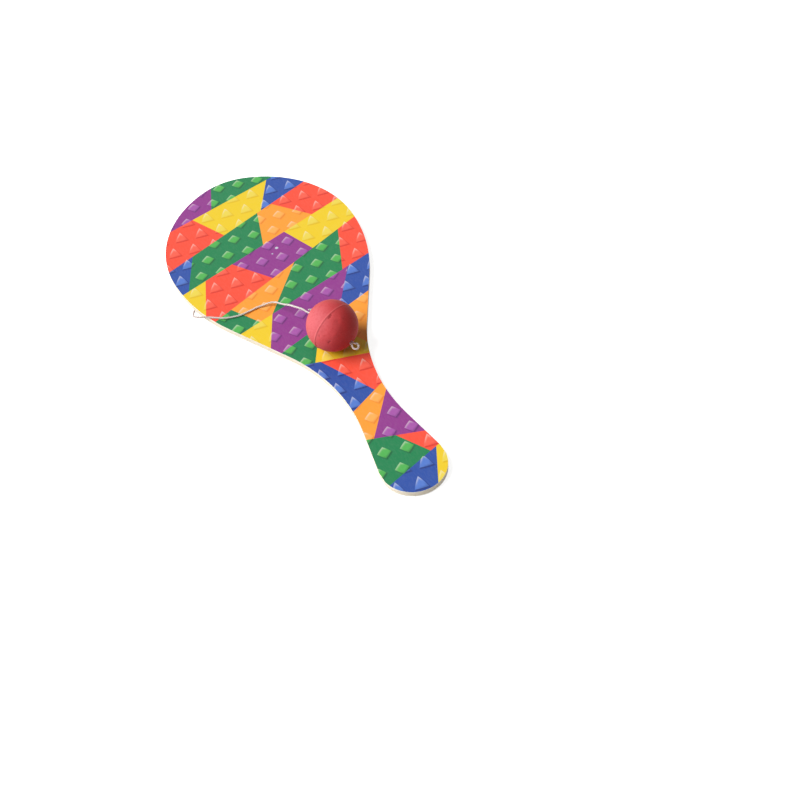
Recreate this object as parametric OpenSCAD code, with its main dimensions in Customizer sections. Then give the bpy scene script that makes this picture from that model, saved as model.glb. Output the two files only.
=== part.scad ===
// Paddle ball game: a flat plywood paddle with a printed face, a small rubber ball and a white
// elastic cord between them. The cord is stapled behind the head, has its spare length wound flat
// round the staple, runs round the left edge and over the face, and ends in a knot and a small eye
// on either side of the ball.
// The handle points to -Y, the printed face is up, and z = 0 is the underside of the staple, which
// the paddle lies on.

/* [Paddle] */
// Length of the paddle from the top of the head to the end of the handle
paddle_len = 235; // [180:1:320]
// Width of the head where it is widest
head_w = 101.6; // [80:0.1:130]
// Distance from the top of the head down to its widest place
widest_from_top = 57; // [48:0.5:70]
// Radius of the arc over the top of the head
crown_r = 36; // [30:0.5:42]
// Radius of the sides of the head below the widest place
flank_r = 92; // [70:1:110]
// Slope of the straight flanks, from the long axis
flank_angle = 29.4; // [26:0.1:33]
// Width of the neck, the narrowest place
neck_w = 19.5; // [15:0.1:24]
// Radius of the hollow sides at the neck
neck_r = 88; // [70:1:110]
// Radius of the round end of the handle
handle_end_r = 15.7; // [12:0.1:18]

/* [Board layers] */
// Thickness of the two outer sheets of the plywood
face_ply_t = 0.9; // [0.6:0.05:1.5]
// Thickness of the middle sheet of the plywood
core_ply_t = 1.2; // [0.8:0.05:2]
// Thickness of the printed sheet that is glued on the front
print_t = 0.2; // [0.1:0.05:0.5]

/* [Staple] */
// Distance from the top of the head down to the staple
staple_from_top = 62.3; // [50:0.1:80]
// Distance between the middles of the two legs
staple_span = 10; // [8:0.1:14]
// Width of the flat wire
wire_w = 0.9; // [0.6:0.05:1.4]
// Thickness of the flat wire
wire_t = 0.5; // [0.3:0.05:0.8]
// Outer radius of the two bends
staple_bend_r = 0.9; // [0.6:0.05:1.2]

/* [Cord] */
// Thickness of the elastic cord
cord_d = 1.1; // [0.9:0.05:1.4]
// Thickness of the cord where the staple pinches it flat
pinch_t = 0.8; // [0.7:0.05:1]
// Width of the cord where the staple pinches it flat
pinch_w = 1.7; // [1.2:0.1:2.4]
// Room between the cord and the board above it
cord_room = 0.05; // [0.02:0.01:0.2]
// Radius of the innermost turn of the spare cord, round the staple
coil_in_r = 6.5; // [6.2:0.1:8]
// Distance from one turn of the spare cord to the next
coil_pitch = 1.55; // [1.52:0.01:2.5]
// Number of full turns of the spare cord, which half a turn is added to
coil_turns = 3; // [1:1:5]
// Radius of the bend that leads from the staple into the first turn
lead_r = 2.2; // [2:0.05:2.6]
// Length of the cut end behind the stop knot
tail_len = 3; // [1:0.5:8]

/* [Ball] */
// Diameter of the rubber ball
ball_d = 25; // [20:0.1:30]
// Sideways place of the ball on the face
ball_x = 1.7; // [-10:0.1:10]
// Place of the ball along the paddle, from the middle of its length
ball_y = -20.2; // [-30:0.1:0]
// Room under the resting ball
ball_room = 0.3; // [0.1:0.05:0.6]
// Compass direction in which the cord leaves the ball's far side
exit_azimuth = -70; // [-90:1:-50]
// Slope of the cord hole, up from the face
exit_slope = -17; // [-30:1:0]
// Radius of the hole for the doubled cord
hole_r = 1.18; // [1.1:0.01:1.5]
// Depth of the wide mouth of the hole, which the knot is drawn into
mouth_depth = 2.2; // [1:0.1:3]
// Room round the knot in the mouth
mouth_room = 0.25; // [0.2:0.05:0.6]
// Thickness of the moulding seam round the ball
seam_d = 0.8; // [0.4:0.1:1.2]
// Height of the moulding seam over the ball
seam_rise = 0.2; // [0.1:0.05:0.4]
// Radius of the eye that the cord forms behind the ball, at the middle of the cord
eye_r = 1.6; // [1.4:0.05:2.5]
// Distance from the ball to the middle of the eye
eye_reach = 2.5; // [2.2:0.1:4]
// Half the distance between the two strands in the hole
strand_offset = 0.58; // [0.56:0.01:0.62]
// Room between the knot and the floor of the mouth, and between the eye and the ball
knot_room = 0.2; // [0.1:0.05:0.5]
// Length of the loose end that stands out of the ball's knot
knot_tail = 3.1; // [2:0.1:5]

/* [Hidden] */
$fn = 96;

over = paddle_len;

// Heights of the layers, counted from the underside of the staple
back_z = wire_t + pinch_t;
core_z = back_z + face_ply_t;
front_z = core_z + core_ply_t;
print_z = front_z + face_ply_t;
face_z = print_z + print_t;

// The right half of the outline, from the top of the head down to the end of the handle. Each arc
// touches the next, so the joints between them follow from the radii.
top_y = paddle_len / 2;
half_w = head_w / 2;
widest_y = top_y - widest_from_top;
crown_y = top_y - crown_r;
crown_drop = crown_y - widest_y;
shoulder_r = (half_w * half_w + crown_drop * crown_drop - crown_r * crown_r) / (2 * (half_w - crown_r));
shoulder_mid = [half_w - shoulder_r, widest_y];
flank_mid = [half_w - flank_r, widest_y];
flank_side = [cos(flank_angle), -sin(flank_angle)];
neck_x = neck_w / 2 + neck_r;
neck_gap = neck_r + flank_r - (neck_x - flank_mid[0]) * flank_side[0];
neck_y = widest_y + neck_gap / flank_side[1];
neck_mid = [neck_x, neck_y];
end_mid = [0, handle_end_r - top_y];
end_step = neck_mid - end_mid;
end_flare = atan2(end_step[1], end_step[0]) - acos((neck_r + handle_end_r) / norm(end_step));
end_side = [cos(end_flare), sin(end_flare)];

crown_joint = shoulder_mid + shoulder_r * unit([0, crown_y] - shoulder_mid);
flank_top = [half_w, widest_y];
flank_joint = flank_mid + flank_r * flank_side;
neck_top = neck_mid - neck_r * flank_side;
neck_low = neck_mid - neck_r * end_side;
end_joint = end_mid + handle_end_r * end_side;

// The staple and the cord behind the board
staple_y = top_y - staple_from_top;
cord_r = cord_d / 2;
coil_z = back_z - cord_room - cord_r;
run_sides = 8;
coil_sides = 6;
rings_per_turn = 24;
lead_steps = 8;
lead_turn = asin(lead_r / (coil_in_r - lead_r));
lead_mid = [lead_r, -(coil_in_r - lead_r) * cos(lead_turn)];
coil_sweep = 180 + 360 * coil_turns;
coil_steps = round(rings_per_turn * coil_sweep / 360);
stop_knot_ring = 1.7 * cord_r;
stop_knot_y = wire_w / 2 + stop_knot_ring + cord_r;

// The cord's centre line, from the staple round its turns to the straight end
function unit(v) = v / norm(v);
function turn_r(i) = coil_in_r + coil_pitch * i / rings_per_turn;
function turn_angle(i) = lead_turn - 90 + 360 * i / rings_per_turn;
function flat(p) = [p[0], p[1] + staple_y, coil_z];
lead_points = [for (i = [0:lead_steps - 1])
    let (a = 180 + (90 + lead_turn) * i / lead_steps)
    lead_mid + lead_r * [cos(a), sin(a)]];
turn_points = [for (i = [0:coil_steps])
    turn_r(i) * [cos(turn_angle(i)), sin(turn_angle(i))]];
coil_last = turn_points[coil_steps];
coil_way = unit(coil_last - turn_points[coil_steps - 1]);
coil_points = [for (p = concat(
    [[0, -wire_w / 2 - cord_r], [0, lead_mid[1] / 2]],
    lead_points, turn_points, [coil_last + cord_d * coil_way])) flat(p)];

// The least room between turns of the coil that lie side by side
coil_count = len(coil_points);
coil_gap = min([for (i = [0:coil_count - 1], j = [i + rings_per_turn / 2:coil_count - 1])
    norm(coil_points[i] - coil_points[j])]) - cord_d;
echo(coil_gap = coil_gap);

// The free cord: behind the head to the left edge, round it, over the face and up to the ball
run_points = concat([coil_points[coil_count - 1]], [
    [-9.5, 63.6, 0.7],
    [-12, 62.1, 0.7],
    [-14.5, 60.6, 0.7],
    [-17, 59.2, 0.7],
    [-19.6, 57.9, 0.7],
    [-22.3, 56.7, 0.7],
    [-25, 55.6, 0.7],
    [-27.7, 54.4, 0.7],
    [-30.3, 53.1, 0.7],
    [-32.8, 51.7, 0.7],
    [-35.3, 50.1, 0.7],
    [-37.7, 48.3, 0.7],
    [-40, 46.5, 0.7],
    [-42.3, 44.6, 0.7],
    [-44.5, 42.7, 0.7],
    [-46.6, 40.7, 0.7],
    [-48.4, 38.6, 0.8],
    [-49.7, 36.3, 1.5],
    [-50.2, 33.9, 2.6],
    [-49.6, 31.6, 3.8],
    [-48.1, 29.6, 4.8],
    [-46, 27.9, 5.2],
    [-43.6, 26.2, 5.1],
    [-41, 24.5, 5.1],
    [-38.3, 23, 5.1],
    [-35.5, 21.8, 5.1],
    [-32.5, 21, 5.1],
    [-29.5, 20.7, 5.1],
    [-26.5, 20.8, 5.1],
    [-23.5, 21, 5.1],
    [-20.5, 21, 5.2],
    [-18.1, 20.2, 5.4],
    [-15.7, 19.5, 6],
    [-13.7, 18, 7],
    [-12.2, 15.8, 8.3],
    [-11, 13.2, 9.5],
    [-10, 10.5, 10.7],
    [-9.1, 7.8, 11.9],
    [-8.2, 5.1, 13.1],
    [-7.4, 2.4, 14.3],
    [-6.6, -0.3, 15.4],
    [-5.9, -2.9, 16.3],
    [-5.2, -5.5, 17.2],
    [-4.4, -7.7, 18.4],
    [-3.1, -8.3, 20.2]]);

// The ball, its hole and the doubled cord in it, along the hole and across it
ball_r = ball_d / 2;
ball_mid = [ball_x, ball_y, face_z + ball_room + ball_r];
hole_way = [cos(exit_azimuth) * cos(exit_slope), sin(exit_azimuth) * cos(exit_slope), sin(exit_slope)];
across = [-sin(exit_azimuth), cos(exit_azimuth), 0];
knot_ring_r = 1.55 * cord_r;
knot_r = knot_ring_r + cord_r;
mouth_floor = ball_r - mouth_depth;
mouth_r = knot_r + mouth_room;
knot_reach = mouth_floor + knot_room + knot_r;
knot_mid = ball_mid - knot_reach * hole_way;
tail_r = 0.8 * cord_r;
tail_way = unit([-0.85, 0.45, 0.25]);
strand_start = mouth_floor + knot_room + cord_r;
eye_steps = 16;
eye_lean = asin(eye_r / norm([strand_offset, eye_reach])) - atan2(strand_offset, eye_reach);
strand_end = ball_r + knot_room;
eye_mid = [0, strand_end + eye_reach];
strand_path = concat(
    [[-strand_offset, -strand_start], [-strand_offset, 0], [-strand_offset, strand_end]],
    [for (i = [0:eye_steps])
        let (a = 180 + eye_lean - (180 + 2 * eye_lean) * i / eye_steps)
        eye_mid + eye_r * [cos(a), sin(a)]],
    [[strand_offset, strand_end], [strand_offset, 0], [strand_offset, -strand_start]]);
strand_points = [for (p = strand_path) ball_mid + p[0] * across + p[1] * hole_way];

birch = [0.87, 0.78, 0.62];
birch_core = [0.8, 0.68, 0.5];
print_yellow = [0.98, 0.84, 0.2];
steel = [0.75, 0.75, 0.77];
cord_white = [0.95, 0.93, 0.92];
ball_red = [0.78, 0.27, 0.28];

// A round tube with flat sides along a list of points. The up way keeps its rings from twisting.
function heading(pts, i) =
    i == 0 ? unit(pts[1] - pts[0])
    : i == len(pts) - 1 ? unit(pts[i] - pts[i - 1])
    : unit(unit(pts[i + 1] - pts[i]) + unit(pts[i] - pts[i - 1]));
function ring(p, way, up, r, sides) =
    let (side = unit(cross(way, up)), top = cross(side, way))
    [for (k = [0:sides - 1])
        let (a = 360 * (k + 0.5) / sides)
        p + r * (cos(a) * side + sin(a) * top)];

module tube(pts, d, sides, up) {
    rings = len(pts);
    last = (rings - 1) * sides;
    corners = [for (i = [0:rings - 1]) each ring(pts[i], heading(pts, i), up, d / 2, sides)];
    walls = [for (i = [0:rings - 2], k = [0:sides - 1])
        let (a = i * sides + k, b = i * sides + (k + 1) % sides)
        each [[a, a + sides, b], [b, a + sides, b + sides]]];
    ends = [for (k = [1:sides - 2]) each [[0, k, k + 1], [last, last + k + 1, last + k]]];
    polyhedron(points = corners, faces = concat(walls, ends));
}

// Puts a child that stands on the z axis along a way from a point
module along(p, way) {
    translate(p)
        rotate([0, acos(way[2]), atan2(way[1], way[0])])
            children();
}

// A slab with a round side: what the circle has on the right hand of the line from a to b
module segment(t, mid, r, a, b) {
    way = unit(b - a);
    right = [way[1], -way[0]];
    intersection() {
        translate(mid) cylinder(h = t, r = r);
        linear_extrude(t) polygon([a, b, b + over * right, a + over * right]);
    }
}

// A second child is the mirror image of the first across the long axis
module both_sides() {
    children();
    mirror([1, 0, 0]) children();
}

// A slab of the paddle's outline: straight lines between the joints, with the round pieces added
// or cut away
module blank(t) {
    right_side = [crown_joint, flank_top, flank_joint, neck_top, neck_low, end_joint];
    joints = len(right_side);
    left_side = [for (i = [1:joints]) [-right_side[joints - i][0], right_side[joints - i][1]]];
    difference() {
        union() {
            linear_extrude(t) polygon(concat(right_side, left_side));
            segment(t, [0, crown_y], crown_r, crown_joint, [-crown_joint[0], crown_joint[1]]);
            segment(t, end_mid, handle_end_r, [-end_joint[0], end_joint[1]], end_joint);
            both_sides() {
                segment(t, shoulder_mid, shoulder_r, flank_top, crown_joint);
                segment(t, flank_mid, flank_r, flank_joint, flank_top);
            }
        }
        both_sides() segment(t, neck_mid, neck_r, neck_top, neck_low);
    }
}

// A blank at its height, with the cuts that the legs of the staple make at the given sides
module sheet(z, t, leg_sides) {
    translate([0, 0, z])
        difference() {
            blank(t);
            for (side = leg_sides)
                translate([side * staple_span / 2, staple_y, t / 2])
                    cube([wire_t, wire_w, 2 * t], center = true);
        }
}

module back_ply() {
    color(birch) sheet(back_z, face_ply_t, [-1, 1]);
}

module core_ply() {
    color(birch_core) sheet(core_z, core_ply_t, [-1, 1]);
}

module front_ply() {
    color(birch) sheet(front_z, face_ply_t, [-1, 1]);
}

// One leg of the staple comes through the print, the other stops under it
module printed_face() {
    color(print_yellow) sheet(print_z, print_t, [1]);
}

module staple_shape() {
    half = staple_span / 2 + wire_t / 2;
    inner_r = staple_bend_r - wire_t;
    difference() {
        union() {
            translate([-half, staple_bend_r]) square([2 * half, face_z - staple_bend_r]);
            translate([staple_bend_r - half, 0]) square([2 * (half - staple_bend_r), over]);
            for (side = [-1, 1])
                translate([side * (half - staple_bend_r), staple_bend_r]) circle(staple_bend_r);
        }
        translate([wire_t - half, staple_bend_r]) square([2 * (half - wire_t), over]);
        translate([staple_bend_r - half, wire_t]) square([2 * (half - staple_bend_r), over]);
        for (side = [-1, 1])
            translate([side * (half - staple_bend_r), staple_bend_r]) circle(inner_r);
        translate([-half, print_z]) square([half, over]);
        translate([-half, face_z]) square([2 * half, over]);
    }
}

module staple() {
    color(steel)
        translate([0, staple_y + wire_w / 2, 0])
            rotate([90, 0, 0])
                linear_extrude(wire_w)
                    staple_shape();
}

// The end of the cord: pinched flat under the staple, then a pressed knot and a cut end
module cord_stop_knot() {
    color(cord_white)
        translate([0, staple_y, 0]) {
            translate([-pinch_w / 2, -wire_w / 2, wire_t]) cube([pinch_w, wire_w, pinch_t]);
            translate([0, -wire_w / 2, coil_z]) rotate([90, 0, 0]) cylinder(h = cord_r, r = cord_r);
            translate([0, wire_w / 2, coil_z])
                rotate([-90, 0, 0])
                    cylinder(h = stop_knot_y + stop_knot_ring + tail_len, r = cord_r);
            translate([0, stop_knot_y, coil_z]) {
                rotate_extrude() translate([stop_knot_ring, 0]) circle(cord_r);
                cylinder(h = cord_d, r = stop_knot_ring, center = true);
            }
        }
}

module cord_coil() {
    color(cord_white) tube(coil_points, cord_d, coil_sides, [0, 0, 1]);
}

module cord_run() {
    color(cord_white) tube(run_points, cord_d, run_sides, [0, 0, 1]);
}

// The knot that stops the doubled cord in the mouth of the ball's hole, with its loose end
module ball_knot() {
    color(cord_white) {
        along(knot_mid, hole_way) {
            sphere(knot_ring_r);
            rotate_extrude() translate([knot_ring_r, 0]) circle(cord_r);
            rotate([90, 0, 0]) rotate_extrude() translate([knot_ring_r, 0]) circle(cord_r);
        }
        along(knot_mid, tail_way) cylinder(h = knot_tail, r = tail_r);
    }
}

// The cord goes through the ball, turns round in a small eye and comes back beside itself
module ball_cord_eye() {
    color(cord_white) tube(strand_points, cord_d, run_sides, cross(hole_way, across));
}

module rubber_ball() {
    color(ball_red)
        along(ball_mid, hole_way)
            difference() {
                union() {
                    sphere(ball_r);
                    rotate_extrude()
                        translate([ball_r + seam_rise - seam_d / 2, 0])
                            circle(seam_d / 2);
                }
                cylinder(h = 2 * ball_d, r = hole_r, center = true);
                translate([0, 0, -mouth_floor - ball_d]) cylinder(h = ball_d, r = mouth_r);
            }
}

back_ply();
core_ply();
front_ply();
printed_face();
staple();
cord_stop_knot();
cord_coil();
cord_run();
ball_knot();
ball_cord_eye();
rubber_ball();
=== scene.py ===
import math

import bpy
import numpy as np
from mathutils import Matrix, Vector, noise


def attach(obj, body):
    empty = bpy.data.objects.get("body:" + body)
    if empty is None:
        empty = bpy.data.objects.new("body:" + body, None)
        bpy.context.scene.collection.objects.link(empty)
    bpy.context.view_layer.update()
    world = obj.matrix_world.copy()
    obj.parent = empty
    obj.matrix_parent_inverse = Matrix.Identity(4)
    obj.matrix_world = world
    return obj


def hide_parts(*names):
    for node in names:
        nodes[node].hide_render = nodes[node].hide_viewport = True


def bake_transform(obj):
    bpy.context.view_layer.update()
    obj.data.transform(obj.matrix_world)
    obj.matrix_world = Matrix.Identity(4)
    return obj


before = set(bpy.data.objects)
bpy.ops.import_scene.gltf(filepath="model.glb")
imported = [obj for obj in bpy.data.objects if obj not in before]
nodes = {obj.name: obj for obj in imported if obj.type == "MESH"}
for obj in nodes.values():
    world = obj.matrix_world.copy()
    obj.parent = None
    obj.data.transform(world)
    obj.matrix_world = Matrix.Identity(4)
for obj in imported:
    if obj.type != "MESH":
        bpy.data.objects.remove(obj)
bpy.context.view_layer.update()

MM = 0.001

# The sizes of the paddle ball game that the pieces here share with its solids, in millimetres
CORD_D = 1.1
CORD_R = CORD_D / 2
UNDER_BOARD_Z = 0.7
STAPLE_Y = 55.2
STAPLE_WIRE_W = 0.9
PINCH_HALF_W = 0.85
PINCH_HALF_H = 0.4
FLAT_KNOT_Y = STAPLE_Y + STAPLE_WIRE_W / 2 + 1.485
BALL_R = 12.5
BALL_MIDDLE = np.array([1.7, -20.2, 17.3])
HOLE_WAY = np.array([0.327075, -0.898633, -0.292372])
ACROSS_HOLE = np.array([0.939693, 0.342020, 0.0])
HOLE_R = 1.18
MOUTH_R = 1.6525
MOUTH_FLOOR = 10.3
KNOT_REACH = 11.9025
KNOT_MIDDLE = BALL_MIDDLE - KNOT_REACH * HOLE_WAY
STRAND_OFFSET = 0.58
EYE_R = 1.6
EYE_START = 12.7
EYE_MIDDLE = 15.2

# The radii that the cord is drawn with, in millimetres: its free length, its strands in the knot at
# the ball, the stub of that knot's end, the strand that leads into it, the eye, and a loose thread
DRAWN_R = 0.48
KNOT_STRAND_R = 0.47
STUB_R = 0.42
LEAD_IN_R = 0.5
EYE_STRAND_R = 0.45
THREAD_R = 0.07

# The cord is painted darker, as painted shade, where it wraps round the head's left edge: fully
# darkened up to the first place across the paddle, and clean from the second on
CORD_PAINTED_SHADE = (-48, -43)

# The ball's moulded seam: the way that it lies square to, how far along that way it lies from the
# ball's middle, its half width, its height, and the way round the ball in which it has worn down
SEAM_WAY = np.array([0.3178, -0.9376, -0.1409])
SEAM_AT = 0.75
SEAM_W = 0.4
SEAM_H = 0.26
SEAM_WORN = (0.9, 0.14, 0.4)

# The way towards the lamp: the ball is painted paler on the side that faces this way and darker on
# the side away from it, as painted light and shade
PAINTED_LIGHT_TOWARDS = np.array([-0.75, 0.07, 0.66])

# The free cord from behind the head, round its left edge and over the face to the ball's knot
RUN_ROUTE = (
    (-9.5, 63.6, 0.7), (-14.5, 60.6, 0.7), (-19.6, 57.9, 0.7), (-25, 55.6, 0.7), (-30.3, 53.1, 0.7),
    (-35.3, 50.1, 0.7), (-40, 46.5, 0.7), (-44.5, 42.7, 0.7), (-46.9, 41, 0.7), (-48.9, 38.9, 0.9),
    (-50, 36.5, 1.6), (-50.4, 34, 2.7), (-49.8, 31.8, 3.9), (-48.4, 29.9, 4.9), (-46.2, 28.3, 5.2),
    (-43.6, 26.7, 5.1), (-41, 24.8, 5.1), (-38.5, 23, 5.1), (-35.5, 21.7, 5.1), (-32.5, 20.9, 5.1),
    (-29.6, 20.5, 5.1), (-26.6, 20.6, 5.1), (-23.7, 20.8, 5.1), (-20.6, 20.9, 5.2), (-18, 20.4, 5.4),
    (-15.5, 19.8, 6.1), (-13.6, 18.2, 7.1), (-12.2, 15.8, 8.3), (-11.1, 13.1, 9.4), (-10, 10.4, 10.6),
    (-9, 7.9, 12), (-8.1, 5.3, 13.3), (-7.3, 2.6, 14.5), (-6.5, -0.1, 15.8), (-5.8, -2.7, 16.9),
    (-5.1, -4.5, 16.9), (-4.2, -6.8, 17.2), (-3.1, -7.9, 18.3), (-1.9, -8.1, 20.3),
)


def linear(red, green, blue):
    """A colour as a screen shows it, 0 to 255, turned into the light it stands for."""
    def one(c):
        c /= 255
        return c / 12.92 if c <= 0.04045 else ((c + 0.055) / 1.055) ** 2.4
    return (one(red), one(green), one(blue), 1)


# Camera

def photo_camera():
    """The camera of the photograph, solved from the paddle's outline."""
    lens = bpy.data.cameras.new("photo_camera")
    lens.lens = 53.75
    lens.sensor_width = 36
    lens.clip_start = 0.01
    lens.clip_end = 50
    camera = bpy.data.objects.new("photo_camera", lens)
    right = Vector((0.879043, -0.473233, -0.057738))
    up = Vector((0.40127, 0.669044, 0.62559))
    back = Vector((-0.257421, -0.57309, 0.778013))
    place = Vector((-0.130221, -0.384176, 0.434659))
    camera.matrix_world = Matrix((
        (right.x, up.x, back.x, place.x),
        (right.y, up.y, back.y, place.y),
        (right.z, up.z, back.z, place.z),
        (0, 0, 0, 1)))
    bpy.context.scene.collection.objects.link(camera)
    bpy.context.scene.camera = camera


photo_camera()


# Shader expressions

class Wire:
    """A value, colour or vector on its way through the nodes. Arithmetic on it adds Math nodes."""

    def __init__(self, tree, socket):
        self.tree = tree
        self.socket = socket

    def calculate(self, operation, *terms):
        return self.tree.node("ShaderNodeMath", {"operation": operation}, dict(enumerate(terms)))

    def __add__(self, other):
        return self.calculate("ADD", self, other)

    __radd__ = __add__

    def __sub__(self, other):
        return self.calculate("SUBTRACT", self, other)

    def __rsub__(self, other):
        return self.calculate("SUBTRACT", other, self)

    def __mul__(self, other):
        return self.calculate("MULTIPLY", self, other)

    __rmul__ = __mul__

    def __truediv__(self, other):
        return self.calculate("DIVIDE", self, other)

    def __rtruediv__(self, other):
        return self.calculate("DIVIDE", other, self)

    def __gt__(self, other):
        return self.calculate("GREATER_THAN", self, other)

    def __lt__(self, other):
        return self.calculate("LESS_THAN", self, other)

    def __abs__(self):
        return self.calculate("ABSOLUTE", self)

    def __mod__(self, other):
        return self.calculate("FLOORED_MODULO", self, other)

    def floor(self):
        return self.calculate("FLOOR", self)

    def sine(self):
        return self.calculate("SINE", self)

    def root(self):
        return self.calculate("SQRT", self)

    def larger(self, other):
        return self.calculate("MAXIMUM", self, other)

    def smooth(self, low, high):
        """0 up to low and 1 from high on, with a soft rise between them."""
        return self.tree.node(
            "ShaderNodeMapRange", {"interpolation_type": "SMOOTHSTEP", "clamp": True},
            {"Value": self, "From Min": low, "From Max": high})


def union(masks):
    """The largest of several masks at each point."""
    whole = masks[0]
    for mask in masks[1:]:
        whole = whole.larger(mask)
    return whole


class ShaderTree:
    """The nodes of a material or of the world."""

    def __init__(self, owner):
        owner.use_nodes = True
        self.nodes = owner.node_tree.nodes
        self.links = owner.node_tree.links

    def node(self, kind, settings, sockets, out=0):
        """Adds a node: its settings first, then the values or wires of its sockets."""
        made = self.nodes.new(kind)
        for name, value in settings.items():
            if name == "stops":
                self.set_stops(made.color_ramp, *value)
            else:
                setattr(made, name, value)
        for name, value in sockets.items():
            self.feed(made.inputs[name], value)
        return Wire(self, made.outputs[out])

    def set_stops(self, ramp, interpolation, stops):
        ramp.interpolation = interpolation
        while len(ramp.elements) < len(stops):
            ramp.elements.new(1)
        for element, (place, colour) in zip(ramp.elements, stops):
            element.position = place
            element.color = colour

    def feed(self, socket, value):
        if isinstance(value, Wire):
            self.links.new(value.socket, socket)
        else:
            socket.default_value = value

    def seen_directly(self):
        """1 for what is seen straight, mirrored or through glass, and 0 for what only lights."""
        return union([self.node("ShaderNodeLightPath", {}, {}, name)
                      for name in ("Is Camera Ray", "Is Glossy Ray", "Is Transmission Ray")])

    def shows(self, plain, bright, share):
        """Ends the tree in a mix of two shaders."""
        mixed = self.node("ShaderNodeMixShader", {}, {0: share, 1: plain, 2: bright})
        ends = [end for end in self.nodes if end.type in ("OUTPUT_MATERIAL", "OUTPUT_WORLD")]
        self.feed(ends[0].inputs["Surface"], mixed)


class Finish(ShaderTree):
    """A material with one Principled shader, built up by expressions."""

    def __init__(self, name, **constants):
        self.material = bpy.data.materials.new(name)
        super().__init__(self.material)
        self.shader = self.nodes["Principled BSDF"]
        for socket, value in constants.items():
            label = socket.replace("_", " ").title().replace("Ior", "IOR")
            self.shader.inputs[label].default_value = value

    def place(self):
        """Where a point of the piece is in the paddle's frame, in millimetres."""
        raw = self.node("ShaderNodeTexCoord", {}, {}, "Object")
        return self.node("ShaderNodeVectorMath", {"operation": "SCALE"}, {0: raw, "Scale": 1 / MM})

    def parts(self, vector):
        split = self.node("ShaderNodeSeparateXYZ", {}, {0: vector}).socket.node
        return [Wire(self, socket) for socket in split.outputs]

    def vector_math(self, operation, first, second, out=0):
        return self.node(
            "ShaderNodeVectorMath", {"operation": operation}, {0: first, 1: second}, out)

    def stretched(self, vector, x, y, z):
        return self.vector_math("MULTIPLY", vector, (x, y, z))

    def distance(self, vector, point):
        return self.vector_math("DISTANCE", vector, point, "Value")

    def along(self, vector, way):
        """How far a vector reaches along a way."""
        return self.vector_math("DOT_PRODUCT", vector, tuple(way), "Value")

    def clouds(self, vector, scale, detail=3, roughness=0.5):
        return self.node(
            "ShaderNodeTexNoise", {},
            {"Vector": vector, "Scale": scale, "Detail": detail, "Roughness": roughness})

    def mix(self, share, first, second):
        return self.node(
            "ShaderNodeMix", {"data_type": "RGBA"}, {0: share, 6: first, 7: second}, 2)

    def ramp(self, value, stops, interpolation="LINEAR"):
        """The colour of a value, from stops of (place, colour)."""
        return self.node("ShaderNodeValToRGB", {"stops": (interpolation, stops)}, {0: value})

    def upward(self):
        """The upright part of the surface's own direction."""
        return self.parts(self.node("ShaderNodeTexCoord", {}, {}, "Normal"))[2]

    def bump(self, height, depth_mm):
        bent = self.node("ShaderNodeBump", {}, {"Distance": depth_mm * MM, "Height": height})
        self.feed(self.shader.inputs["Normal"], bent)

    def paint(self, colour, roughness):
        self.feed(self.shader.inputs["Base Color"], colour)
        self.feed(self.shader.inputs["Roughness"], roughness)


# Finishes

RED, ORANGE, YELLOW, GREEN, BLUE, PURPLE = range(6)
PRINT_GROUND = (
    (250, 84, 62), (255, 162, 57), (242, 207, 44), (27, 127, 77), (46, 81, 163), (145, 57, 140))
PRINT_MOTIF = (
    (253, 100, 80), (255, 178, 88), (240, 216, 84), (82, 178, 84), (86, 124, 206), (168, 88, 170))
PRINT_SHADE = (
    (212, 52, 40), (234, 132, 44), (226, 184, 32), (16, 88, 52), (24, 44, 110), (100, 36, 110))

# The bands of the patchwork from the handle up: where a band's lower edge crosses the long axis,
# its slope, and its patches from left to right as (place of the right end, lean of it, colour),
# the place taken LEAN_FROM above the band's lower edge
LEAN_FROM = 10
PRINT_BANDS = (
    (-140, 0.10, ((-2, 0.5, BLUE), (99, 0, YELLOW))),
    (-103, 0.30, ((6, -0.6, GREEN), (99, 0, RED))),
    (-84, -0.35, ((-3, 0.8, ORANGE), (99, 0, PURPLE))),
    (-58, 0.45, ((1, -0.5, BLUE), (99, 0, RED))),
    (-30, -0.30, ((-8, 0.6, GREEN), (12, -0.5, YELLOW), (99, 0, ORANGE))),
    (-6, 0.28, ((-21, 0.5, YELLOW), (17, 0.7, PURPLE), (99, 0, BLUE))),
    (17, 0.22, ((-33, -0.6, GREEN), (-4, 0.9, ORANGE), (29, 0.4, GREEN), (99, 0, RED))),
    (38, 0.34, ((-38, 0.4, YELLOW), (-14, -0.7, RED), (20, -0.4, PURPLE), (99, 0, YELLOW))),
    (61, 0.24, ((-36, 0.5, BLUE), (3, 0.3, GREEN), (30, -0.8, ORANGE), (99, 0, RED))),
    (83, 0.30, ((-22, -0.5, RED), (14, 0.6, YELLOW), (99, 0, BLUE))),
    (103, 0.18, ((-8, 0.4, PURPLE), (99, 0, GREEN))),
)

# Where the staple's leg has chipped the print, and a scuff: places in millimetres and their reach
FACE_CHIPS = (((5, 55.2, 4.5), 0.95), ((1.3, 52.3, 4.5), 0.55))

# The grid that the motifs stand on: its step in millimetres, its turn, and how far a motif reaches
# from its middle, as a share of the step
MOTIF_STEP = 10.6
MOTIF_TURN = math.radians(-12)
MOTIF_REACH = 0.31


def patch_number(x, y):
    """The number of the colour of the patch that a point of the face lies in."""
    picture = None
    for start, slope, patches in PRINT_BANDS:
        rise = y - start
        row = float(patches[-1][2])
        for place, lean, colour in reversed(patches[:-1]):
            beyond = x - (rise - LEAN_FROM) * lean > place
            row = beyond * (row - colour) + colour
        picture = row if picture is None else (rise - x * slope > 0) * (row - picture) + picture
    return picture


def motif(across, up, pointed):
    """How far a point of a cell of the grid is from the middle of its rounded diamond or triangle."""
    level = (across * across + up * up).root()
    diamond = (abs(across) + abs(up)) * 0.85 + level * 0.15
    triangle = (abs(across) * 1.5 + up * 0.75).larger(up * -1.35) * 0.85 + level * 0.15
    return pointed * (triangle - diamond) + diamond


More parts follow.
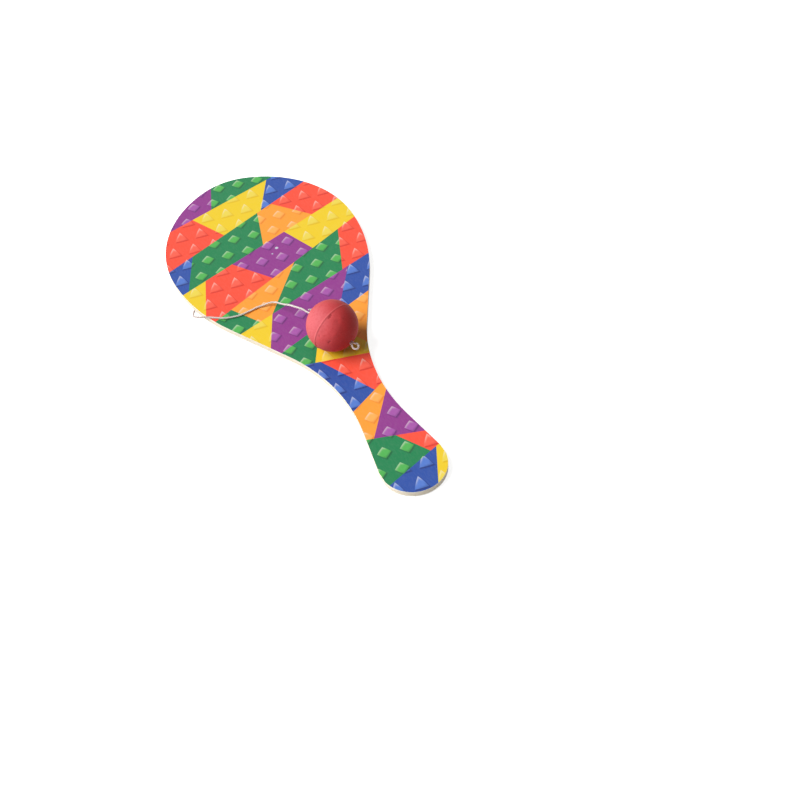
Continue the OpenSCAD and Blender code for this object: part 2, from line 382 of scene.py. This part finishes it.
def patchwork_print():
    """Printed paper: coloured patches, with motifs drawn on them as if raised and lit from above."""
    finish = Finish("patchwork_print", specular_ior_level=0.35)
    place = finish.place()
    x, y, _ = finish.parts(place)
    number = patch_number(x, y)
    cosine, sine = math.cos(MOTIF_TURN), math.sin(MOTIF_TURN)
    along = (x * cosine + y * sine) / MOTIF_STEP
    over = (y * cosine - x * sine) / MOTIF_STEP
    along = along + (over.floor() % 2) * 0.5
    across = along % 1 - 0.5
    up = over % 1 - 0.5
    pointed = (number % 2) < 0.5
    body = motif(across, up, pointed)
    inside = 1 - body.smooth(MOTIF_REACH - 0.02, MOTIF_REACH + 0.02)
    rim = body.smooth(MOTIF_REACH * 0.4, MOTIF_REACH)
    lit = up * 0.87 - across * 0.49
    shadow = motif(across - 0.035, up + 0.06, pointed)
    cast = 1 - shadow.smooth(MOTIF_REACH - 0.04, MOTIF_REACH + 0.08)
    count = len(PRINT_GROUND)
    tone = number / count + 0.5 / count

    def palette(colours):
        stops = [(i / count, linear(*colour)) for i, colour in enumerate(colours)]
        return finish.ramp(tone, stops, "CONSTANT")

    shade = palette(PRINT_SHADE)
    glint = rim * lit.smooth(0.0, 0.25) * 0.35
    dim = rim * (0 - lit).smooth(0.0, 0.25) * 0.5
    raised = finish.mix(glint, palette(PRINT_MOTIF), linear(255, 250, 240))
    raised = finish.mix(dim, raised, shade)
    art = finish.mix(cast * 0.85, palette(PRINT_GROUND), shade)
    art = finish.mix(inside, art, raised)
    ink = finish.clouds(finish.stretched(place, 1, 0.35, 1), 1.4, 4, 0.6)
    art = finish.mix(ink.smooth(0.35, 0.75) * 0.02, art, linear(255, 252, 244))
    chips = union([1 - (finish.distance(place, point) + ink * 0.5).smooth(reach, reach + 0.3)
                   for point, reach in FACE_CHIPS])
    art = finish.mix(chips * 0.8, art, linear(206, 218, 232))
    paper = finish.mix(ink * 0.4, linear(246, 240, 226), linear(222, 206, 176))
    finish.paint(finish.mix(finish.upward() > 0.6, paper, art), 0.38 + ink * 0.12)
    fibres = finish.clouds(finish.stretched(place, 2.2, 0.25, 1), 1.0, 3)
    finish.bump(fibres, 0.003)
    return finish.material


def birch(name, pale, streak, grain, end_grain):
    """Unvarnished wood. The grain runs where its stretch is small."""
    finish = Finish(name, specular_ior_level=0.25)
    place = finish.place()
    grain_x, grain_y, _ = grain
    fibre = finish.clouds(finish.stretched(place, *grain), 1.0, 5, 0.62)
    figure = finish.clouds(finish.stretched(place, grain_x * 0.2, grain_y * 0.2, 0.3), 1.0, 3)
    pores = finish.clouds(finish.stretched(place, grain_x * 3, grain_y * 3, 3), 1.0, 2)
    colour = finish.mix(fibre.smooth(0.38, 0.68), linear(*pale), linear(*streak))
    colour = finish.mix(figure.smooth(0.45, 0.7) * 0.35, colour, linear(*streak))
    colour = finish.mix(pores.smooth(0.6, 0.72) * 0.3, colour, linear(*end_grain))
    side = 1 - abs(finish.upward()).smooth(0.4, 0.8)
    colour = finish.mix(side * 0.15, colour, linear(*end_grain))
    finish.paint(colour, 0.62 + fibre * 0.2)
    finish.bump(fibre + pores * 0.5, 0.03)
    return finish.material


def staple_steel():
    """Plain steel wire, a little scratched and tarnished."""
    finish = Finish("staple_steel", metallic=1.0)
    place = finish.place()
    scratches = finish.clouds(finish.stretched(place, 1.5, 12, 1.5), 1.0, 3)
    tarnish = finish.clouds(place, 0.6, 3)
    colour = finish.mix(tarnish.smooth(0.45, 0.7) * 0.5, linear(214, 212, 208), linear(176, 166, 150))
    finish.paint(colour, 0.24 + scratches * 0.25)
    finish.bump(scratches, 0.01)
    return finish.material


def braided_elastic():
    """A white cover braided over the rubber: two sets of threads that cross round the cord."""
    finish = Finish(
        "braided_elastic", specular_ior_level=0.25,
        subsurface_weight=1.0, subsurface_radius=(1, 1, 1), subsurface_scale=2 * MM)
    turn, length, _ = finish.parts(finish.node("ShaderNodeTexCoord", {}, {}, "UV"))
    threads_round, threads_per_mm = 8, 1.25
    right_hand = (turn * threads_round + length * threads_per_mm) * math.tau
    left_hand = (turn * threads_round - length * threads_per_mm) * math.tau
    threads = right_hand.sine().larger(left_hand.sine()) * 0.5 + 0.5
    place = finish.place()
    lint = finish.clouds(place, 2.5, 3, 0.6)
    colour = finish.mix(threads.smooth(0.0, 0.8), linear(191, 182, 177), linear(210, 202, 196))
    colour = finish.mix(lint.smooth(0.5, 0.8) * 0.25, colour, linear(200, 188, 184))
    # Painted shade: the cord is darkened towards (168, 148, 144) where it wraps round the head's left
    # edge
    painted_cord_shade = 1 - finish.parts(place)[0].smooth(*CORD_PAINTED_SHADE)
    colour = finish.mix(painted_cord_shade * 0.6, colour, linear(168, 148, 144))
    finish.paint(colour, 0.7 + lint * 0.2)
    finish.bump(threads + lint * 0.5, 0.04)
    return finish.material


# Small nicks and flecks of dirt on the ball: their places in millimetres and their sizes
BALL_MARKS = (
    ((-0.4, -24.7, 28.7), 0.8), ((0.4, -24.3, 29.0), 0.7), ((-1.1, -25.0, 28.5), 0.5),
    ((-7.8, -26.9, 21.8), 0.7), ((-5.0, -30.6, 19.1), 0.8), ((-4.4, -30.8, 19.8), 0.6),
    ((10.4, -14.0, 23.0), 0.8), ((6.0, -9.8, 12.6), 0.7), ((-9.3, -17.8, 11.4), 0.7),
)

# Shallow dimples in the rubber, or low bumps where the depth is below 0: their places in
# millimetres, their widths and their depths
BALL_DIMPLES = (
    ((4.2, -27.0, 27.5), 1.5, -0.2), ((2.0, -27.9, 27.1), 1.2, 0.18),
    ((3.2, -31.0, 23.5), 1.8, 0.2), ((-5.4, -27.6, 24.5), 1.6, 0.16),
    ((-1.8, -31.0, 22.6), 1.3, -0.18), ((-1.3, -17.7, 29.2), 2.0, 0.12),
    ((9.6, -12.0, 20.0), 2.0, 0.15), ((-8.0, -15.0, 10.5), 1.8, 0.15),
    ((6.0, -9.6, 12.0), 1.6, -0.15),
)

# How deep a nick goes, and all that is pressed into the ball
NICK_DEPTH = 0.1
BALL_HOLLOWS = tuple((spot, size, NICK_DEPTH) for spot, size in BALL_MARKS) + BALL_DIMPLES


def moulded_rubber():
    """Dull red rubber with painted light and shade, paler towards the lamp and darker away from it, a
    painted highlight and shade by the seam, and dark nicks.
    """
    finish = Finish("moulded_rubber", specular_ior_level=0.2, sheen_weight=0.08)
    place = finish.place()
    from_seam = finish.along(place, SEAM_WAY) - float(BALL_MIDDLE @ SEAM_WAY + SEAM_AT)
    painted_light_side = finish.along(place, PAINTED_LIGHT_TOWARDS) - float(BALL_MIDDLE @ PAINTED_LIGHT_TOWARDS)
    painted_light_blotches = finish.clouds(place, 0.22, 4, 0.6)
    mottle = finish.clouds(place, 0.9, 4, 0.62)
    pits = finish.clouds(place, 3.4, 2, 0.6)
    # Painted light and shade: the colour runs from deep red on the side away from the lamp to pale
    # pink on the side towards it, made uneven by noise
    colour = finish.ramp(painted_light_side / BALL_R * 0.5 + painted_light_blotches * 0.1 + 0.45, [
        (0.35, linear(176, 36, 32)), (0.6, linear(198, 52, 52)),
        (0.82, linear(206, 74, 78)), (1, linear(214, 102, 108))])
    colour = finish.mix(mottle.smooth(0.45, 0.75) * 0.35, colour, linear(186, 42, 44))
    colour = finish.mix(pits.smooth(0.6, 0.76) * 0.3, colour, linear(226, 112, 112))
    # Painted highlight along the seam's side towards the lamp, and painted shade in a dark line just
    # beyond it on the far side
    painted_seam_highlight = 1 - abs(from_seam + 0.1).smooth(0.05, 0.4)
    colour = finish.mix(painted_seam_highlight * 0.3, colour, linear(236, 130, 128))
    painted_seam_shade = 1 - abs(from_seam - 0.5).smooth(0.05, 0.4)
    colour = finish.mix(painted_seam_shade * 0.16, colour, linear(126, 34, 40))
    marks = union([1 - finish.distance(place, point).smooth(size * 0.25, size)
                   for point, size in BALL_MARKS])
    ragged = marks * mottle.smooth(0.3, 0.55)
    colour = finish.mix(ragged * 0.6, colour, linear(128, 34, 36))
    finish.paint(colour, 0.55 + mottle * 0.22)
    finish.bump(mottle * 0.8 + pits * 0.5 - ragged, 0.12)
    return finish.material


# Mesh objects

def new_object(name, verts, faces, material, smooth=True):
    """Puts a mesh with its points in metres into the scene."""
    mesh = bpy.data.meshes.new(name)
    mesh.from_pydata(verts, [], faces)
    mesh.polygons.foreach_set("use_smooth", [smooth] * len(faces))
    mesh.materials.append(material)
    made = bpy.data.objects.new(name, mesh)
    bpy.context.scene.collection.objects.link(made)
    return made


# Cord pieces

def smooth_path(points, step):
    """Points about a step apart on a curve that runs smoothly through the given ones."""
    pts = np.array(points, float)
    ends = np.vstack([2 * pts[0] - pts[1], pts, 2 * pts[-1] - pts[-2]])
    per_span = 24
    fine = []
    for i in range(len(pts) - 1):
        a, b, c, d = ends[i:i + 4]
        for t in np.arange(per_span) / per_span:
            fine.append(0.5 * (2 * b + (c - a) * t + (2 * a - 5 * b + 4 * c - d) * t ** 2
                               + (3 * b - a - 3 * c + d) * t ** 3))
    fine = np.array(fine + [pts[-1]])
    reach = np.r_[0, np.cumsum(np.linalg.norm(np.diff(fine, axis=0), axis=1))]
    marks = np.linspace(0, reach[-1], max(2, round(reach[-1] / step)) + 1)
    return np.stack([np.interp(marks, reach, fine[:, k]) for k in range(3)], axis=1)


def sweep(path, half_w, half_h, up=None):
    """Ring frames along a path: carried along it, or kept level with an up direction."""
    ways = np.gradient(path, axis=0)
    ways /= np.linalg.norm(ways, axis=1)[:, None]
    no_cord_starts_along = (0.3, 0.2, 0.93)
    side = np.cross(ways[0], no_cord_starts_along if up is None else up)
    side /= np.linalg.norm(side)
    rings = []
    for i, way in enumerate(ways):
        side = side - way * (side @ way) if up is None else np.cross(way, up)
        side = side / np.linalg.norm(side)
        top = np.cross(side, way)
        rings.append((path[i], side * half_w[i], top * half_h[i]))
    return rings


class CordMesh:
    """Tubes of cord gathered into one piece, with the turn and the length of each in its UVs."""

    sides = 14

    def __init__(self):
        self.verts = []
        self.faces = []
        self.uvs = []

    def ring(self, middle, side, top):
        for a in np.arange(self.sides) / self.sides * math.tau:
            self.verts.append(middle + math.cos(a) * side + math.sin(a) * top)

    def tube(self, path, half_w, half_h=None, up=None, round_ends=(True, True)):
        """Adds a tube with closed ends along a path. Its half widths are one value or one a point."""
        path = np.array(path, float)
        count = len(path)
        half_w = np.full(count, half_w) if np.isscalar(half_w) else np.array(half_w, float)
        half_h = half_w if half_h is None else np.array(half_h, float)
        reach = np.r_[0, np.cumsum(np.linalg.norm(np.diff(path, axis=0), axis=1))]
        rings = sweep(path, half_w, half_h, up)
        first = len(self.verts)
        last = first + (count - 1) * self.sides
        for ring in rings:
            self.ring(*ring)
        for i in range(count - 1):
            low, high = first + i * self.sides, first + (i + 1) * self.sides
            here, ahead = reach[i], reach[i + 1]
            for k in range(self.sides):
                nxt = (k + 1) % self.sides
                self.faces.append((low + k, low + nxt, high + nxt, high + k))
                left, right = k / self.sides, (k + 1) / self.sides
                self.uvs.append(((left, here), (right, here), (right, ahead), (left, ahead)))
        self.cap(rings[0], rings[1], first, reach[0], True, round_ends[0])
        self.cap(rings[-1], rings[-2], last, reach[-1], False, round_ends[1])

    def cap(self, ring, neighbour, first, length, flip, rounded):
        """Closes an end with a small cut face, or with a short dome."""
        middle, side, top = ring
        out = middle - neighbour[0]
        out /= np.linalg.norm(out)
        reach = np.linalg.norm(top) * (0.45 if rounded else 0.0)
        levels = ((0.8, 0.6), (0.45, 0.9)) if rounded else ((0.5, 0.0),)
        last = first
        for share, lift in levels:
            start = len(self.verts)
            self.ring(middle + out * reach * lift, share * side, share * top)
            self.belt(last, start, flip, length)
            last = start
        tip = len(self.verts)
        self.verts.append(middle + out * reach)
        for k in range(self.sides):
            nxt = (k + 1) % self.sides
            face = (last + nxt, last + k, tip) if flip else (last + k, last + nxt, tip)
            self.faces.append(face)
            self.uvs.append(((k / self.sides, length),) * 3)

    def belt(self, low, high, flip, length):
        """Joins two rings of an end."""
        for k in range(self.sides):
            nxt = (k + 1) % self.sides
            face = (low + k, low + nxt, high + nxt, high + k)
            self.faces.append((face[1], face[0], face[3], face[2]) if flip else face)
            self.uvs.append(((k / self.sides, length),) * 4)

    def piece(self, name, material):
        made = new_object(name, [tuple(v * MM) for v in self.verts], self.faces, material)
        layer = made.data.uv_layers.new(name="braid")
        layer.data.foreach_set("uv", [c for face in self.uvs for pair in face for c in pair])
        return made


def coil_route():
    """The spare cord: out of the staple, through a bend, and three and a half flat turns round it."""
    lead_r, inner_r, pitch, turns = 2.2, 6.5, 1.55, 3.5
    lead_steps, per_turn = 8, 24
    lead_turn = math.asin(lead_r / (inner_r - lead_r))
    middle = np.array([lead_r, -(inner_r - lead_r) * math.cos(lead_turn)])
    points = [np.array([0, -STAPLE_WIRE_W / 2 - CORD_R]), np.array([0, middle[1] / 2])]
    for i in range(lead_steps):
        a = math.pi + (math.pi / 2 + lead_turn) * i / lead_steps
        points.append(middle + lead_r * np.array([math.cos(a), math.sin(a)]))
    for i in range(round(per_turn * turns) + 1):
        a = lead_turn - math.pi / 2 + math.tau * i / per_turn
        points.append((inner_r + pitch * i / per_turn) * np.array([math.cos(a), math.sin(a)]))
    way = points[-1] - points[-2]
    points.append(points[-1] + CORD_D * way / np.linalg.norm(way))
    return [(p[0], p[1] + STAPLE_Y, UNDER_BOARD_Z) for p in points]


elastic = braided_elastic()


def elastic_cord():
    """The free cord from the staple to the ball, its spare length wound under the head."""
    path = smooth_path(coil_route() + list(RUN_ROUTE), 0.55)
    mesh = CordMesh()
    mesh.tube(path, DRAWN_R)
    made = mesh.piece("elastic_cord", elastic)
    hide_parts("cord_coil", "cord_run")
    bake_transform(made)
    return made, path


def stop_knot():
    """The cord's other end: pinched under the staple, pressed flat in a knot, and cut."""
    centre = np.array([0, FLAT_KNOT_Y, UNDER_BOARD_Z])
    loop_r, loop_lift = 0.9, 0.2
    route = [np.array([0, STAPLE_Y + s, UNDER_BOARD_Z]) for s in (-1.0, -0.45, 0, 0.45)]
    for i in range(15):
        a = -math.pi / 2 + 0.35 + (math.tau * 1.35) * i / 14
        lift = loop_lift * math.sin(1.5 * a)
        route.append(centre + (loop_r * math.cos(a), loop_r * math.sin(a), lift))
    route += [centre + way for way in ((0.2, 1.7, 0), (0.1, 2.8, 0), (0, 3.8, 0))]
    path = smooth_path(route, 0.22)
    near = np.clip(1 - np.abs(path[:, 1] - STAPLE_Y) / 1.1, 0, 1)
    pinch = near * near * (3 - 2 * near)
    knotted = np.clip(1.6 - np.linalg.norm(path - centre, axis=1) / 1.1, 0, 1)
    half_w = CORD_R + (PINCH_HALF_W - CORD_R) * pinch + 0.05 * knotted
    half_h = CORD_R - (CORD_R - PINCH_HALF_H) * pinch - 0.2 * knotted
    mesh = CordMesh()
    mesh.tube(path, half_w, half_h, up=(0, 0, 1), round_ends=(True, False))
    frayed(mesh, path[-1], path[-1] - path[-3], 0.4, 0.9, 9, 3)
    made = mesh.piece("stop_knot", elastic)
    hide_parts("cord_stop_knot")
    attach(made, "paddle")
    return made


def frayed(mesh, end, way, spread, length, count, seed):
    """Loose threads that stand out of a cut end."""
    way = way / np.linalg.norm(way)
    side = np.cross(way, (0.2, 0.5, 0.8))
    side /= np.linalg.norm(side)
    top = np.cross(side, way)
    luck = np.random.default_rng(seed)
    for k in range(count):
        a = math.tau * k / count + luck.uniform(-0.3, 0.3)
        out = math.cos(a) * side + math.sin(a) * top
        start = end + 0.28 * out - 0.2 * way
        reach = length * luck.uniform(0.6, 1.0)
        tip = start + way * reach + out * spread * luck.uniform(0.5, 1.0)
        bow = (start + tip) / 2 - out * 0.12
        mesh.tube(smooth_path([start, bow, tip], 0.25), THREAD_R)


def knot_and_tail():
    """The knot in the mouth of the ball's hole, with its frayed end."""
    axis = -HOLE_WAY
    third = np.cross(axis, ACROSS_HOLE)
    lobe, weave = 0.31, 0.52
    loops = []
    for t in np.linspace(0, math.tau, 49)[:-1]:
        flat_x = math.sin(t) + 2 * math.sin(2 * t)
        flat_y = math.cos(t) - 2 * math.cos(2 * t)
        loops.append(KNOT_MIDDLE + lobe * flat_x * ACROSS_HOLE + lobe * flat_y * third
                     - weave * math.sin(3 * t) * axis)
    loops += loops[:3]
    mesh = CordMesh()
    mesh.tube(smooth_path(loops, 0.2), KNOT_STRAND_R)
    tail = np.array([-0.87, 0.47, 0.04])
    tail /= np.linalg.norm(tail)
    stub_end = KNOT_MIDDLE + 2.4 * tail + (0, 0.05, -0.05)
    stub = smooth_path([KNOT_MIDDLE, KNOT_MIDDLE + 1.3 * tail, stub_end], 0.3)
    mesh.tube(stub, STUB_R, round_ends=(True, False))
    frayed(mesh, stub_end, tail, 0.25, 0.8, 8, 5)
    towards = np.array(RUN_ROUTE[-1]) - KNOT_MIDDLE
    lead_in = [KNOT_MIDDLE + share * towards for share in (0, 0.5, 1.05)]
    mesh.tube(smooth_path(lead_in, 0.3), LEAD_IN_R)
    made = mesh.piece("ball_knot_cord", elastic)
    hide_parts("ball_knot")
    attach(made, "tether_end")
    return made


def eye_cord():
    """The doubled cord in the ball's hole and the small eye that it turns round in."""
    reach = EYE_MIDDLE - EYE_START
    lean = math.asin(EYE_R / math.hypot(STRAND_OFFSET, reach)) - math.atan2(STRAND_OFFSET, reach)
    start = -(MOUTH_FLOOR + 0.2 + CORD_R)
    in_hole = (start, -4, 4, EYE_START)
    route = [(-STRAND_OFFSET, h) for h in in_hole]
    for i in range(17):
        a = math.pi + lean - (math.pi + 2 * lean) * i / 16
        route.append((0.95 * EYE_R * math.cos(a), EYE_MIDDLE + EYE_R * math.sin(a)))
    route += [(STRAND_OFFSET, h) for h in reversed(in_hole)]
    points = [BALL_MIDDLE + s * ACROSS_HOLE + h * HOLE_WAY for s, h in route]
    mesh = CordMesh()
    mesh.tube(smooth_path(points, 0.35), EYE_STRAND_R)
    made = mesh.piece("ball_eye_cord", elastic)
    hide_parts("ball_cord_eye")
    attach(made, "tether_end")
    return made


free_cord, cord_path = elastic_cord()
cord_ends = [stop_knot(), knot_and_tail(), eye_cord()]


# Ball

def ball_profile():
    """The ball's section beside its hole, as (along the hole, out from it), from the far end on."""
    lip = 0.3
    far = math.asin((HOLE_R + lip) / BALL_R)
    near = math.pi - math.asin((MOUTH_R + lip) / BALL_R)
    seam_low, seam_high = math.pi / 2 - 4 / BALL_R, math.pi / 2 + 2.5 / BALL_R
    angles = np.r_[
        np.linspace(far, seam_low, 44), np.linspace(seam_low, seam_high, 94)[1:-1],
        np.linspace(seam_high, near, 50)]
    outside = [(BALL_R * math.cos(a), BALL_R * math.sin(a)) for a in angles]
    start, end = outside[0], outside[-1]
    mouth = [(end[0] + lip * (1 - math.cos(a)), MOUTH_R + lip * (1 - math.sin(a)))
             for a in np.linspace(0.3, math.pi / 2, 5)]
    floor = [(-MOUTH_FLOOR - 0.15, MOUTH_R), (-MOUTH_FLOOR, MOUTH_R - 0.15),
             (-MOUTH_FLOOR, HOLE_R + 0.1), (-MOUTH_FLOOR + 0.1, HOLE_R)]
    throat = [(s, HOLE_R) for s in np.linspace(-9, start[0] - lip - 0.2, 12)]
    exit_lip = [(start[0] - lip * (1 - math.sin(a)), HOLE_R + lip * (1 - math.cos(a)))
                for a in np.linspace(0, math.pi / 2 - 0.3, 5)]
    return outside + mouth + floor + throat + exit_lip


def skin_lift(point, seam_h):
    """How far the ball's skin stands out at a point: its waves and its seam, less its hollows."""
    wave = 0.035 * noise.noise(Vector(point * 0.16)) + 0.02 * noise.noise(Vector(point * 0.5))
    hollow = sum(depth * math.exp(-(np.linalg.norm(point - np.array(spot)) / width) ** 2)
                 for spot, width, depth in BALL_HOLLOWS)
    off_seam = float((point - BALL_MIDDLE) @ SEAM_WAY) - SEAM_AT
    return wave + seam_h * math.exp(-(off_seam / SEAM_W) ** 2) - hollow


def moulded_ball():
    profile = ball_profile()
    around = 200
    skin_depth = 0.6
    third = np.cross(HOLE_WAY, ACROSS_HOLE)
    verts, faces = [], []
    for k in range(around):
        a = math.tau * k / around
        out = math.cos(a) * ACROSS_HOLE + math.sin(a) * third
        wear = 0.7 - 0.4 * float(out @ SEAM_WORN) + 0.35 * noise.noise(Vector(out * 2.5))
        for s, r in profile:
            point = BALL_MIDDLE + s * HOLE_WAY + r * out
            level = math.hypot(s, r)
            if level > BALL_R - skin_depth:
                away = (point - BALL_MIDDLE) / level
                point = point + away * skin_lift(point, SEAM_H * wear)
            verts.append(tuple(point * MM))
    count = len(profile)
    for k in range(around):
        here, there = k * count, (k + 1) % around * count
        for i in range(count):
            nxt = (i + 1) % count
            faces.append((here + i, there + i, there + nxt, here + nxt))
    made = new_object("moulded_ball", verts, faces, moulded_rubber())
    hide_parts("rubber_ball")
    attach(made, "ball")


moulded_ball()


# Board and staple

def dress(name, material, edge):
    """Gives a solid its finish and takes the sharpness off its edges."""
    solid = nodes[name]
    solid.data.materials.clear()
    solid.data.materials.append(material)
    bevel = solid.modifiers.new("eased_edges", "BEVEL")
    bevel.width = edge * MM
    bevel.segments = 2
    bevel.limit_method = "ANGLE"
    bevel.angle_limit = math.radians(40)


outer_birch = birch(
    "outer_birch", (246, 240, 227), (235, 224, 202), (2.2, 0.12, 2.2), (220, 204, 178))
core_birch = birch(
    "core_birch", (243, 234, 218), (229, 214, 188), (0.12, 2.2, 2.2), (208, 188, 158))
dress("back_ply", outer_birch, 0.08)
dress("core_ply", core_birch, 0.05)
dress("front_ply", outer_birch, 0.06)
dress("printed_face", patchwork_print(), 0.2)
dress("staple", staple_steel(), 0.06)


# Studio

WHITE = (1, 1, 1, 1)
ROOM_LIGHT = 0.13
FLOOR_SIDE = 12
FLOOR_WHITE = (0.8, 0.8, 0.8, 1)
FLOOR_GLOW = 0.82
KEY_TOWARDS = Vector((-0.664, 0.203, 0.719))
KEY_STRENGTH = 3.9
KEY_SPREAD = math.radians(48)


def white_room():
    """Plain soft light from all round, in a room that looks white."""
    world = bpy.data.worlds.new("white_room")
    bpy.context.scene.world = world
    tree = ShaderTree(world)
    light = tree.node("ShaderNodeBackground", {}, {"Color": WHITE, "Strength": ROOM_LIGHT})
    shown = tree.node("ShaderNodeBackground", {}, {"Color": WHITE, "Strength": 1})
    tree.shows(light, shown, tree.seen_directly())


def white_floor():
    """A floor that looks white and keeps a faint shadow."""
    material = bpy.data.materials.new("studio_white")
    tree = ShaderTree(material)
    tree.nodes.remove(tree.nodes["Principled BSDF"])
    matt = tree.node("ShaderNodeBsdfDiffuse", {}, {"Color": FLOOR_WHITE})
    glow = tree.node("ShaderNodeEmission", {}, {"Color": WHITE, "Strength": FLOOR_GLOW})
    overlit = tree.node("ShaderNodeAddShader", {}, {0: matt, 1: glow})
    tree.shows(matt, overlit, tree.seen_directly())
    half = FLOOR_SIDE / 2
    corners = [(-half, -half, 0), (half, -half, 0), (half, half, 0), (-half, half, 0)]
    new_object("studio_floor", corners, [(0, 1, 2, 3)], material, smooth=False)


def key_lamp():
    """One very wide lamp, up on the left of the picture."""
    lamp = bpy.data.lights.new("key_lamp", "SUN")
    lamp.energy = KEY_STRENGTH
    lamp.angle = KEY_SPREAD
    key = bpy.data.objects.new("key_lamp", lamp)
    key.rotation_euler = KEY_TOWARDS.to_track_quat("Z", "Y").to_euler()
    bpy.context.scene.collection.objects.link(key)


white_room()
white_floor()
key_lamp()
bpy.context.scene.view_settings.view_transform = "Standard"
